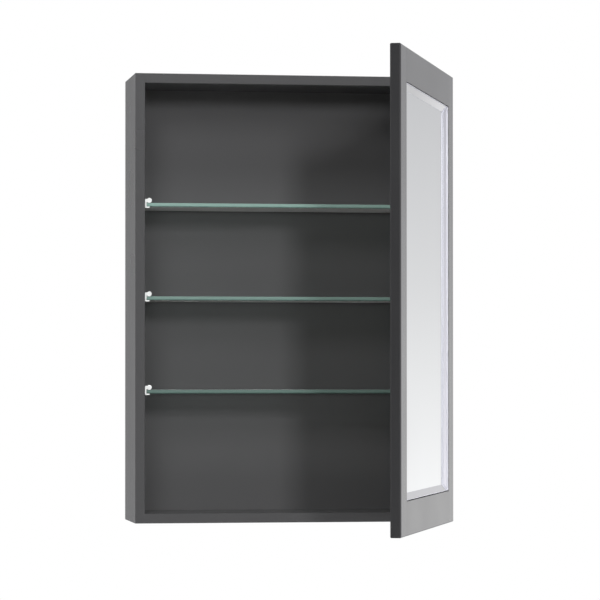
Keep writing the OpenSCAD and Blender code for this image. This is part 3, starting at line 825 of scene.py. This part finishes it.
@dataclass
class ShelfClips:
    """Four moulded clips of one shelf: wall plate, ledge, hooked bead and a pin in the side panel."""

    node: str
    shelf: str
    wall: float = 3 * MM
    ledge: float = 8 * MM
    ledge_t: float = 2 * MM
    arm_t: float = 4.4 * MM
    bead_x: float = 7.5 * MM
    bead_r: float = 3.8 * MM
    pin_r: float = 2.5 * MM
    pin_len: float = 9 * MM
    depth: float = 10 * MM
    soft: float = 0.5 * MM

    def outline(self, shelf_t: float) -> np.ndarray:
        """Draws the clip's side view: x is measured from the wall, and z from the glass's middle.

        The bead is an arc that leaves the arm's underside and comes back to its top.

        Args:
            shelf_t: the glass's thickness.

        Returns:
            The outline's points.
        """
        low = -shelf_t / 2 - self.ledge_t
        bead_z = shelf_t / 2 + self.bead_r
        arm_low, arm_top = bead_z - self.arm_t / 2, bead_z + self.arm_t / 2
        turn = math.pi - math.asin(self.arm_t / 2 / self.bead_r)
        sweep = np.linspace(-turn, turn, 28)
        x, z = self.bead_x + self.bead_r * np.cos(sweep), bead_z + self.bead_r * np.sin(sweep)
        bead = np.stack([x, z], axis=-1)
        corners = np.array([[0, arm_top], [0, low], [self.ledge, low], [self.ledge, low + self.ledge_t],
                            [self.wall, low + self.ledge_t], [self.wall, arm_low]], float)
        radii = np.array([self.wall * 0.6, 0.1 * MM, self.soft, self.soft, 0.6 * MM, 0.6 * MM])
        closing = np.vstack([corners, bead[:1], bead[-1:]])
        steps = 4
        plate = rounded_outline(closing, np.concatenate([radii, [0.0, 0.0]]), steps)
        return np.vstack([plate[:len(corners) * (steps + 1)], bead])

    def one(self, shelf_t: float) -> Shell:
        """Carries the side view along Y, drawn in at both ends, and adds the pin and the bead's ring.

        Args:
            shelf_t: the glass's thickness.

        Returns:
            One clip, with the wall at x = 0 and the glass's middle at z = 0.
        """
        outline = self.outline(shelf_t)
        along, inset = end_insets(self.depth, self.soft, steps=4)
        centre = np.array([self.wall * 0.8, 0.0])
        reach = np.abs(outline - centre).max(axis=0)
        rings = np.zeros((len(along), len(outline), 3))
        shrink = 1 - inset[:, None] / reach[None, :]
        drawn = centre + (outline - centre)[None] * shrink[:, None]
        rings[:, :, 0], rings[:, :, 2] = np.maximum(drawn[:, :, 0], 0.0), drawn[:, :, 1]
        rings[:, :, 1] = along[:, None] - self.depth / 2
        taper, seat = 0.6 * MM, 0.3 * MM
        radius = np.array([0.0, self.pin_r - taper, self.pin_r, self.pin_r, 0.0])
        height = np.array([-self.pin_len, -self.pin_len, -self.pin_len + taper, seat, seat])
        pin = loft(revolved(radius, height, around=24)[:, :, [2, 0, 1]], capped=False)
        # A moulded ring stands round the middle of the bead's front end
        ring_r = self.bead_r * np.array([0.0, 0.38, 0.52, 0.7, 0.86, 0.9, 0.0])
        ring_y = -self.depth / 2 + self.soft * np.array([0.5, 0.45, 0.0, -0.1, 0.2, 1.6, 1.6])
        turned = revolved(ring_r, -ring_y, around=32)[:, :, [0, 2, 1]] * np.array([1.0, -1.0, 1.0])
        ring = loft(turned, capped=False)
        return joined([loft(rings), pin, ring.moved((self.bead_x, 0.0, shelf_t / 2 + self.bead_r))])

    def build(self) -> None:
        """Places the clips by the node's box, each pair mirrored across the cabinet."""
        low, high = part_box(self.node)
        glass_low, glass_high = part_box(self.shelf)
        middle = (glass_low.z + glass_high.z) / 2
        wall_x = high.x - self.pin_len
        clip = self.one(glass_high.z - glass_low.z)
        flip = np.diag([-1.0, 1.0, 1.0])
        shells = []
        for y in (low.y + self.depth / 2, high.y - self.depth / 2):
            shells += [clip.moved((-wall_x, y, middle)), clip.turned(flip).moved((wall_x, y, middle))]
        make_piece(self.node + "_moulded", joined(shells), [CLEAR_PLASTIC], "carcass",
                   (self.node,))


@dataclass
class Hinge:
    """The concealed hinges: plates, arms, links and cups keep their nodes; the screws get real heads."""

    levels: tuple[str, str] = ("upper", "lower")
    plate_pitch: float = 32 * MM
    plate_head_r: float = 4.2 * MM
    plate_head_t: float = 1.8 * MM
    arm_head_t: float = 2 * MM
    cup_screw_length: float = 12.2 * MM
    small_head_r: float = 3.4 * MM
    wing_z: float = 22.5 * MM
    wing_x: float = 220 * MM
    flange_y: float = -146.8 * MM

    def dress(self) -> None:
        """Gives the plates, arms, links, cups and pins their finishes."""
        parts = ("mounting_plate", "hinge_arm", "inner_link", "outer_link", "hinge_cup")
        dress([f"{level}_{part}" for level in self.levels for part in parts], NICKEL)
        dress(["arm_pins", "cup_pins"], ZINC)

    def middles(self) -> list[float]:
        """Returns the height of each hinge."""
        boxes = [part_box(f"{level}_hinge_cup") for level in self.levels]
        return [(low.z + high.z) / 2 for low, high in boxes]

    def plate_screws(self) -> None:
        """Makes the screws that hold the mounting plates on the side panel."""
        low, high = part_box("plate_screws")
        screw = Screw(head_r=self.plate_head_r, head_t=self.plate_head_t, shank_r=2.5 * MM,
                      length=high.x - low.x - self.plate_head_t, pitch=2 * MM)
        points = [(low.x + self.plate_head_t, (low.y + high.y) / 2, z + s * self.plate_pitch / 2)
                  for z in self.middles() for s in (-1, 1)]
        make_piece("hinge_plate_screws", screw.set_at(points, (-1.0, 0.0, 0.0)), [ZINC], "carcass",
                   ("plate_screws",))

    def arm_screws(self) -> None:
        """Makes the fixing and adjusting screws of the hinge arms."""
        low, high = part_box("arm_screws")
        screw = Screw(head_r=self.small_head_r, head_t=self.arm_head_t, shank_r=2 * MM,
                      length=high.x - low.x - self.arm_head_t, pitch=1 * MM)
        rows = (low.y + self.small_head_r, high.y - self.small_head_r)
        points = [(low.x + self.arm_head_t, y, z) for z in self.middles() for y in rows]
        make_piece("hinge_arm_screws", screw.set_at(points, (-1.0, 0.0, 0.0)), [ZINC], "carcass",
                   ("arm_screws",))

    def cup_screws(self, swing: DoorSwing) -> None:
        """Makes the screws that hold the cups' flanges on the door.

        Args:
            swing: where the door stands.
        """
        screw = Screw(head_r=self.small_head_r, length=self.cup_screw_length)
        points = [(self.wing_x, self.flange_y, z + s * self.wing_z)
                  for z in self.middles() for s in (-1, 1)]
        shell = swing.stand(screw.set_at(points, (0.0, 1.0, 0.0)))
        make_piece("hinge_cup_screws", shell, [ZINC], "door", ("cup_screws",))

    def build(self, swing: DoorSwing) -> None:
        """Builds the sub-assembly.

        Args:
            swing: where the door stands.
        """
        self.dress()
        self.plate_screws()
        self.arm_screws()
        self.cup_screws(swing)


class Member(Enum):
    """The members of the door's frame that are drawn here, by their nodes."""

    FREE_STILE = "free_stile"
    BOTTOM_RAIL = "bottom_rail"
    TOP_RAIL = "top_rail"


@dataclass
class Door:
    """The framed mirror door, drawn closed: stiles, rails, mirror, bevel strips and brads."""

    swing: DoorSwing
    width: float = 500 * MM
    height: float = 700 * MM
    front_y: float = -164 * MM
    thick: float = 16 * MM
    frame_w: float = 50 * MM
    lip_t: float = 3 * MM
    lip_w: float = 8 * MM
    round_r: float = 2 * MM
    arris: float = 0.5 * MM
    joint_arris: float = 0.35 * MM
    mirror_fit: float = 0.3 * MM
    mirror_depth: float = 6 * MM
    mirror_t: float = 4 * MM
    glass_arris: float = 0.4 * MM
    strip_seat: float = 0.05 * MM
    strip_w: float = 11 * MM
    strip_step: float = 0.5 * MM
    strip_gap: float = 1.2 * MM
    strip_rim: float = 1.8 * MM
    strip_land: float = 0.6 * MM
    strip_nose: float = 0.5 * MM
    bead_w: float = 14 * MM
    bead_out: float = 15.999 * MM
    brad_r: float = 0.9 * MM
    brad_deep: float = 0.5 * MM
    brad_proud: float = 0.2 * MM
    rail_spread: float = 0.82
    stile_spread: float = 0.86

    def section(self, rebated: bool) -> np.ndarray:
        """Draws a member's section: across from the outer edge, and in from the front face.

        Args:
            rebated: whether the rebate for the mirror is cut.

        Returns:
            The outline, with as many points either way.
        """
        w, t, cut = self.frame_w, self.thick, self.frame_w - self.lip_w
        if rebated:
            corners = [[0, 0], [0, t], [cut, t], [cut, self.lip_t], [w, self.lip_t], [w, 0]]
            radii = [self.round_r, self.round_r, self.arris, 0.0, self.arris, self.arris]
        else:
            # Two more points on the flat inner edge, to match the rebated outline
            corners = [[0, 0], [0, t], [w, t], [w, t * 0.6], [w, t * 0.3], [w, 0]]
            radii = [self.round_r, self.round_r, self.arris, 0.0, 0.0, self.arris]
        return rounded_outline(np.array(corners, float), np.array(radii), steps=5)

    def member(self, kind: Member, sections: np.ndarray, along: np.ndarray, inset: np.ndarray,
               finish: Finish) -> None:
        """Carries sections along a member. Near an end the faces are held in by the inset.

        Args:
            kind: which member it is; a stile runs along Z, and a rail along X.
            sections: an outline for each ring.
            along: the rings' places.
            inset: how far the faces step in at each ring.
            finish: the member's finish.
        """
        across = sections[:, :, 0]
        deep = np.clip(sections[:, :, 1], inset[:, None], self.thick - inset[:, None])
        rings = np.zeros(sections.shape[:2] + (3,))
        rings[:, :, 1] = self.front_y + deep
        if kind is Member.FREE_STILE:
            rings[:, :, 0], rings[:, :, 2] = across - self.width / 2, along[:, None]
        else:
            rings[:, :, 0] = along[:, None]
            rings[:, :, 2] = self.height - across if kind is Member.TOP_RAIL else across
        shell = self.swing.stand(loft(rings))
        make_piece(kind.value + "_board", shell, [finish], "door", (kind.value,))

    def stiles(self) -> None:
        """Makes the free stile, rebated between the rails and plain behind their ends.

        The hinge stile keeps its node, which has the cups' bores.
        """
        along, inset = end_insets(self.height, self.round_r, steps=6)
        cut = self.frame_w - self.lip_w
        steps = np.array([cut, cut, self.height - cut, self.height - cut])
        middle = len(along) // 2
        along = np.concatenate([along[:middle], steps, along[middle:]])
        inset = np.concatenate([inset[:middle], np.zeros(4), inset[middle:]])
        inside = np.zeros(len(along), bool)
        inside[middle + 1:middle + 3] = True
        sections = np.where(inside[:, None, None], self.section(True)[None], self.section(False)[None])
        self.member(Member.FREE_STILE, sections, along, inset, DOOR_LACQUER_PAINTED_SHADE)
        dress(["hinge_stile"], DOOR_LACQUER_PAINTED_SHADE)

    def rails(self) -> None:
        """Makes the two rails, with a fine arris where their ends meet the stiles."""
        length = self.width - 2 * self.frame_w
        along, inset = end_insets(length, self.joint_arris, steps=3)
        section = self.section(True)
        sections = np.broadcast_to(section, (len(along),) + section.shape)
        for kind in (Member.BOTTOM_RAIL, Member.TOP_RAIL):
            self.member(kind, sections, along - length / 2, inset, RAIL_LACQUER_PAINTED_SHADE)

    def half_sizes(self) -> tuple[float, float]:
        """Returns half the mirror's width and height, which the strips and beads share."""
        grip = self.frame_w - self.lip_w + self.mirror_fit
        return self.width / 2 - grip, self.height / 2 - grip

    def mirror(self) -> None:
        """Makes the mirror: ring k is its rectangle drawn in by insets[k] at depths[k]."""
        half = np.array(self.half_sizes())
        front, back, cut = self.mirror_depth, self.mirror_depth + self.mirror_t, self.glass_arris
        insets = np.array([cut, 0.0, 0.0, cut])
        depths = np.array([back, back - cut, front + cut, front])
        signs = np.array([[-1, -1], [1, -1], [1, 1], [-1, 1]], float)
        flat = signs[None] * (half[None, None] - insets[:, None, None])
        rings = np.stack([flat[:, :, 0], np.broadcast_to(self.front_y + depths[:, None], flat.shape[:2]),
                          self.height / 2 + flat[:, :, 1]], axis=-1)
        # The first cap is the painted back, and the last one the silvered front
        shell = loft(rings, side_slot=1)
        shell.slots[-2:] = (2, 0)
        rise = (back - shell.points[:, 1] + self.front_y) / self.mirror_t
        shell.uv = np.stack([shell.points[:, 0], rise], axis=-1)
        make_piece("mirror_pane", self.swing.stand(shell), [SILVERED, MIRROR_EDGE, MIRROR_PAINT], "door",
                   ("mirror",), smooth_deg=1.0)

    def strip_section(self) -> np.ndarray:
        """Draws a strip's section: inward from its outer edge, and in from the door's front.

        First come the flange and the rim's outer wall, then the crest, the upright rim and the slope.

        Returns:
            The outline's points.
        """
        lip_end, flange = self.lip_w - self.mirror_fit, self.lip_t + self.strip_seat
        rim, crest = lip_end + self.strip_gap, lip_end + self.strip_gap + self.strip_land
        inner = lip_end + self.strip_w
        corners = np.array([[0, flange], [rim, flange], [rim, self.strip_step], [crest, self.strip_step],
                            [crest, self.strip_step + self.strip_rim],
                            [inner, self.mirror_depth - self.strip_nose], [inner, self.mirror_depth],
                            [0, self.mirror_depth]])
        radii = np.array([0.2, 0.0, 0.15, 0.2, 0.15, 0.3, 0.05, 0.2]) * MM
        return rounded_outline(corners, radii, steps=3)

    def bevel_strips(self) -> None:
        """Makes the four bevelled strips. A line at inset u ends at half - u - gap, which mitres it."""
        across, deep = self.strip_section().T
        half_w, half_h = self.half_sizes()
        # The flange and the rim's outer wall are painted dark, which is also painted shade for the gap
        # beside the rim; the upright rim and the thin inner edge are only ground, and the rest is
        # silvered. Each corner has four points
        per = 4
        stretch_slots = np.zeros((1, len(across)), int)
        stretch_slots[0, :2 * per] = 1
        stretch_slots[0, 3 * per - 1:4 * per + 1] = 2
        stretch_slots[0, 6 * per - 2:6 * per] = 2
        shells = []
        for quarter, (run, out) in enumerate(((half_w, half_h), (half_h, half_w)) * 2):
            end = run - across - self.mirror_fit / 2
            level = np.broadcast_to(across - out, (2, len(across)))
            along = np.stack([-end, end])
            turn = quarter * math.pi / 2
            c, s = math.cos(turn), math.sin(turn)
            rings = np.stack([along * c - level * s, np.broadcast_to(self.front_y + deep, level.shape),
                              self.height / 2 + along * s + level * c], axis=-1)
            shells.append(loft(rings, side_slot=stretch_slots))
        shell = self.swing.stand(joined(shells))
        make_piece("mirror_bevel_strips", shell, [BEVEL, STRIP_PAINT_AND_SHADE, STRIP_EDGE], "door",
                   ("bevel_strips",), smooth_deg=20.0)

    def brads(self) -> None:
        """Makes the small brads that pin the beads, as shallow domes that stand a hair proud of them."""
        half_w, half_h = (h - self.bead_w / 2 for h in self.half_sizes())
        face_y = self.front_y + self.bead_out
        arc = np.linspace(0.0, math.pi / 2, 5)
        radius = np.concatenate([[0.0, self.brad_r], self.brad_r * np.cos(arc[1:])])
        height = np.concatenate([[-self.brad_deep] * 2, self.brad_proud * np.sin(arc[1:])])
        brad = loft(revolved(radius, height, around=16)[:, :, [0, 2, 1]], capped=False)
        places = [(x * half_w * self.rail_spread, z * half_h)
                  for x in (-1, -0.33, 0.33, 1) for z in (-1, 1)]
        places += [(x * half_w, z * half_h * self.stile_spread)
                   for x in (-1, 1) for z in (-1, -0.5, 0, 0.5, 1)]
        shells = [brad.moved((x, face_y, self.height / 2 + z)) for x, z in places]
        make_piece("bead_brads", self.swing.stand(joined(shells)), [ZINC], "door")

    def build(self) -> None:
        """Builds the sub-assembly."""
        self.stiles()
        self.rails()
        self.mirror()
        self.bevel_strips()
        self.brads()
        dress(["door_dowels"], DOWEL_WOOD)
        dress(["backing_board"], BOARD)
        dress(["retaining_beads"], DOOR_LACQUER_PAINTED_SHADE)
        dress(["bumper_pads"], SOFT_PLASTIC)


# What surrounds the object

@dataclass(frozen=True)
class FloorPaint(Finish):
    """Matt white paint. The camera sees it white, and reflections see it pale grey."""

    name: str = "matt_white_painted_floor"
    colour: str = "#E9E9E8"
    reflected: str = "#C4C5C7"
    glow: float = 0.97

    def surface(self, add: Adder) -> Node:
        """Adds the paint, and the white that rays see directly, through glass or in a reflection.

        Args:
            add: adds a node to the material.

        Returns:
            The node that gives the surface.
        """
        path = add("LightPath").outputs
        share = add("Math", {
            0: path["Is Camera Ray"], 1: path["Is Transmission Ray"]}, operation="MAXIMUM")
        for other, how in ((path["Is Glossy Ray"], "MAXIMUM"), (self.glow, "MULTIPLY")):
            share = add("Math", {0: share, 1: other}, operation=how)
        paint = add("BsdfDiffuse", {"Color": self.colour})
        tone = add("Mix", {
            0: path["Is Glossy Ray"], 6: "#FFFFFF", 7: self.reflected}, data_type="RGBA")
        white = add("Emission", {"Color": tone, "Strength": 1.0})
        return add("MixShader", {0: share, 1: paint, 2: white})


@dataclass(frozen=True)
class Lamp:
    """A soft lamp that looks at a point."""

    name: str
    place: Vec3
    aim: Vec3
    size: tuple[float, float]
    power: float

    def build(self) -> None:
        """Makes the lamp."""
        data = bpy.data.lights.new(self.name, "AREA")
        data.shape = "RECTANGLE"
        data.size, data.size_y = self.size
        data.energy = self.power
        lamp = bpy.data.objects.new(self.name, data)
        lamp.location = self.place
        # Reflections see the backdrop alone, and the glass's shader itself lets the lamps' light through
        lamp.visible_glossy = False
        lamp.visible_transmission = False
        look = Vector(self.aim) - Vector(self.place)
        lamp.rotation_euler = look.to_track_quat("-Z", "Y").to_euler()
        bpy.context.scene.collection.objects.link(lamp)


@dataclass
class Studio:
    """Floor, world, lamps and camera."""

    floor_z: float = -1.2
    floor_half: float = 9.0
    floor_points: int = 9
    ambient: float = 0.5
    lamps: tuple[Lamp, ...] = (
        Lamp("key_lamp", (0.34, -4.9, 1.5), (0.0, -0.1, 0.35), (0.35, 0.7), 98.0),
        Lamp("upper_lamp", (-0.3, -2.2, 3.4), (0.0, -0.1, 0.2), (1.2, 1.2), 72.0),
        Lamp("left_lamp", (-1.45, -3.8, 2.35), (0.0, -0.1, 0.35), (1.1, 1.1), 50.0),
        Lamp("right_lamp", (4.0, -1.2, 0.9), (0.1, -0.4, 0.35), (1.5, 1.5), 60.0))
    # Colours of the backdrop by height, by the way round from the left, and of the grey screen in it
    by_height: Stops = ((0.0, "#B4B4B6"), (0.30, "#CFCFD1"), (0.46, "#FFFFFF"), (0.53, "#E0E0E1"),
                        (0.60, "#CACACC"), (0.76, "#E6E6E8"), (1.0, "#DADADC"))
    by_side: Stops = ((0.06, "#A6A6A8"), (0.17, "#3A3A3C"), (0.27, "#2E2E30"), (0.36, "#FFFFFF"),
                      (0.42, "#A6A6A8"), (0.50, "#8A8A8B"), (0.60, "#868687"))
    screen: Stops = ((0.753, "#FFFFFF"), (0.756, "#F0F0F0"), (0.7625, "#CECECE"), (0.775, "#FFFFFF"))
    cool_cast: str = "#FAF9FF"
    focal_px: float = 2995.0
    sensor: float = 36.0
    yaw_deg: float = 8.48
    pitch_deg: float = 0.72
    eye: Vec3 = (-0.775, -4.767, 0.228)
    shift: tuple[float, float] = (0.1, 0.065)
    clip: tuple[float, float] = (0.1, 60.0)

    def floor(self) -> None:
        """Makes the plain pale floor: a grid on which x and y are even steps."""
        n = self.floor_points
        side = np.linspace(-self.floor_half, self.floor_half, n)
        x, y = np.meshgrid(side, side, indexing="ij")
        points = np.stack([x, y, np.full_like(x, self.floor_z)], axis=-1).reshape(-1, 3)
        row, col = np.meshgrid(np.arange(n - 1), np.arange(n - 1), indexing="ij")
        first = (row * n + col).ravel()
        mesh = bpy.data.meshes.new("floor")
        quads = np.stack([first, first + n, first + n + 1, first + 1], axis=1)
        mesh.from_pydata(points.tolist(), [], quads.tolist())
        mesh.materials.append(FloorPaint().material())
        floor = bpy.data.objects.new("floor", mesh)
        bpy.context.scene.collection.objects.link(floor)

    def world(self) -> None:
        """Makes the studio's light: even for matt surfaces, and white for the camera.

        Reflections see a backdrop: dark with one bright band at the left, grey in the middle, and pale
        at the right, with a faint cool cast at the far right and a narrow grey screen low down.
        """
        world = bpy.data.worlds.new("studio")
        bpy.context.scene.world = world
        world.use_nodes = True
        world.node_tree.nodes.clear()
        add = partial(add_node, world.node_tree)
        way = add("SeparateXYZ", {0: add("TexCoord").outputs["Generated"]}).outputs
        # Parts of the way in which a ray looks, each mapped to a share from 0 to 1
        height, side, rightward, corner, low = (
            add("MapRange", {"Value": part, "From Min": start, "From Max": end})
            for part, start, end in ((way[2], -0.5, 0.5), (way[0], -1.0, 1.0), (way[0], 0.2, 0.4),
                                     (way[0], 0.62, 0.74), (way[2], 0.0, -0.02)))
        rise, round_about, screen = (
            add("ValToRGB", {"Fac": share}, stops)
            for share, stops in ((height, self.by_height), (side, self.by_side), (side, self.screen)))
        sides = add("Mix", {0: rightward, 6: round_about, 7: rise}, data_type="RGBA")
        cool = add("Mix", {
            0: 1.0, 6: rise, 7: self.cool_cast}, data_type="RGBA", blend_type="MULTIPLY")
        open_sides = add("Mix", {0: corner, 6: sides, 7: cool}, data_type="RGBA")
        # The screen, just right of what the mirror shows, shades the upper bevel towards its near end
        backdrop = add("Mix", {
            0: low, 6: open_sides, 7: screen}, data_type="RGBA", blend_type="MULTIPLY")
        even, mirrored, white = (
            add("Background", {"Color": colour, "Strength": strength})
            for colour, strength in ((backdrop, self.ambient), (backdrop, 1.0), ("#FFFFFF", 1.0)))
        path = add("LightPath").outputs
        first = add("MixShader", {0: path["Is Glossy Ray"], 1: even, 2: mirrored})
        seen = add("Math", {
            0: path["Is Camera Ray"], 1: path["Is Transmission Ray"]}, operation="MAXIMUM")
        direct = add("Math", {
            0: seen, 1: path["Diffuse Depth"]}, operation="SUBTRACT", use_clamp=True)
        last = add("MixShader", {0: direct, 1: first, 2: white})
        add("OutputWorld", {"Surface": last})

    def camera(self) -> None:
        """Makes the camera at the photograph's viewing angle: from the left, low, with a long lens."""
        data = bpy.data.cameras.new("camera")
        data.sensor_width = self.sensor
        data.lens = self.focal_px * self.sensor / PHOTO_SIDE_PX
        data.shift_x, data.shift_y = self.shift
        data.clip_start, data.clip_end = self.clip
        camera = bpy.data.objects.new("camera", data)
        camera.location = self.eye
        yaw, pitch = math.radians(self.yaw_deg), math.radians(self.pitch_deg)
        camera.rotation_euler = (math.pi / 2 + pitch, 0.0, -yaw)
        bpy.context.scene.collection.objects.link(camera)
        bpy.context.scene.camera = camera

    def build(self) -> None:
        """Builds everything round the object."""
        self.floor()
        self.world()
        for lamp in self.lamps:
            lamp.build()
        self.camera()
        bpy.context.scene.view_settings.view_transform = "Standard"


def main() -> None:
    logging.basicConfig(level=logging.INFO, format="%(name)s: %(message)s")
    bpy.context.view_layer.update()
    swing = swing_of_frame()
    Carcass().build()
    for level in ("upper", "middle", "lower"):
        GlassShelf(f"{level}_shelf").build()
        ShelfClips(f"{level}_shelf_clips", f"{level}_shelf").build()
    Hinge().build(swing)
    Door(swing).build()
    Studio().build()


if __name__ == "__main__":
    main()
